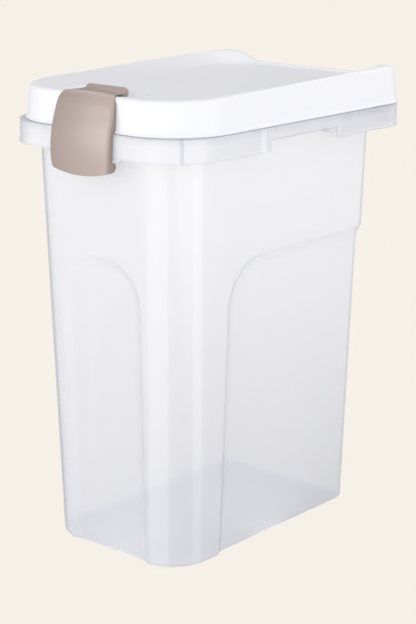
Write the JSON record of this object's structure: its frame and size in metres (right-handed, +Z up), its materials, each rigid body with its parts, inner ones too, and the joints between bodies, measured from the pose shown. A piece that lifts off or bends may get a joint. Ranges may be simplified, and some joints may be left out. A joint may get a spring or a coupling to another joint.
{
  "type": "pet food storage bin",
  "caption": "Tall tapered storage bin for dry pet food with a hinged lid, a front clip latch and hand grips under a wide collar.",
  "frame": {"origin": "middle of the tub's foot, on the surface that the bin stands on", "axes": "+Z up, +X across the bin towards the right seen from the front, -Y towards the latch at the front"},
  "size_m": [0.2274, 0.3396, 0.4398],
  "materials": {
    "clear_tub": "milky translucent, smooth satin",
    "white_lid": "opaque, fine satin",
    "seal_rubber": "soft matte",
    "taupe_latch": "opaque satin",
    "pin_steel": "drawn wire"
  },
  "bodies": {
    "tub": {"tub": "clear_tub", "latch_pin": "pin_steel", "hinge_pin_left": "pin_steel", "hinge_pin_right": "pin_steel"},
    "lid": {"lid": "white_lid", "lid_seal": "seal_rubber"},
    "latch": {"latch": "taupe_latch"}
  },
  "joints": [
    {"name": "lid_hinge", "type": "hinge", "parent": "tub", "child": "lid", "pos_m": [0, 0.166, 0.392], "axis": [-1, 0, 0], "range_deg": [0, 105]},
    {"name": "latch_hinge", "type": "hinge", "parent": "tub", "child": "latch", "pos_m": [0, -0.157, 0.3734], "axis": [1, 0, 0], "range_deg": [0, 150]}
  ]
}
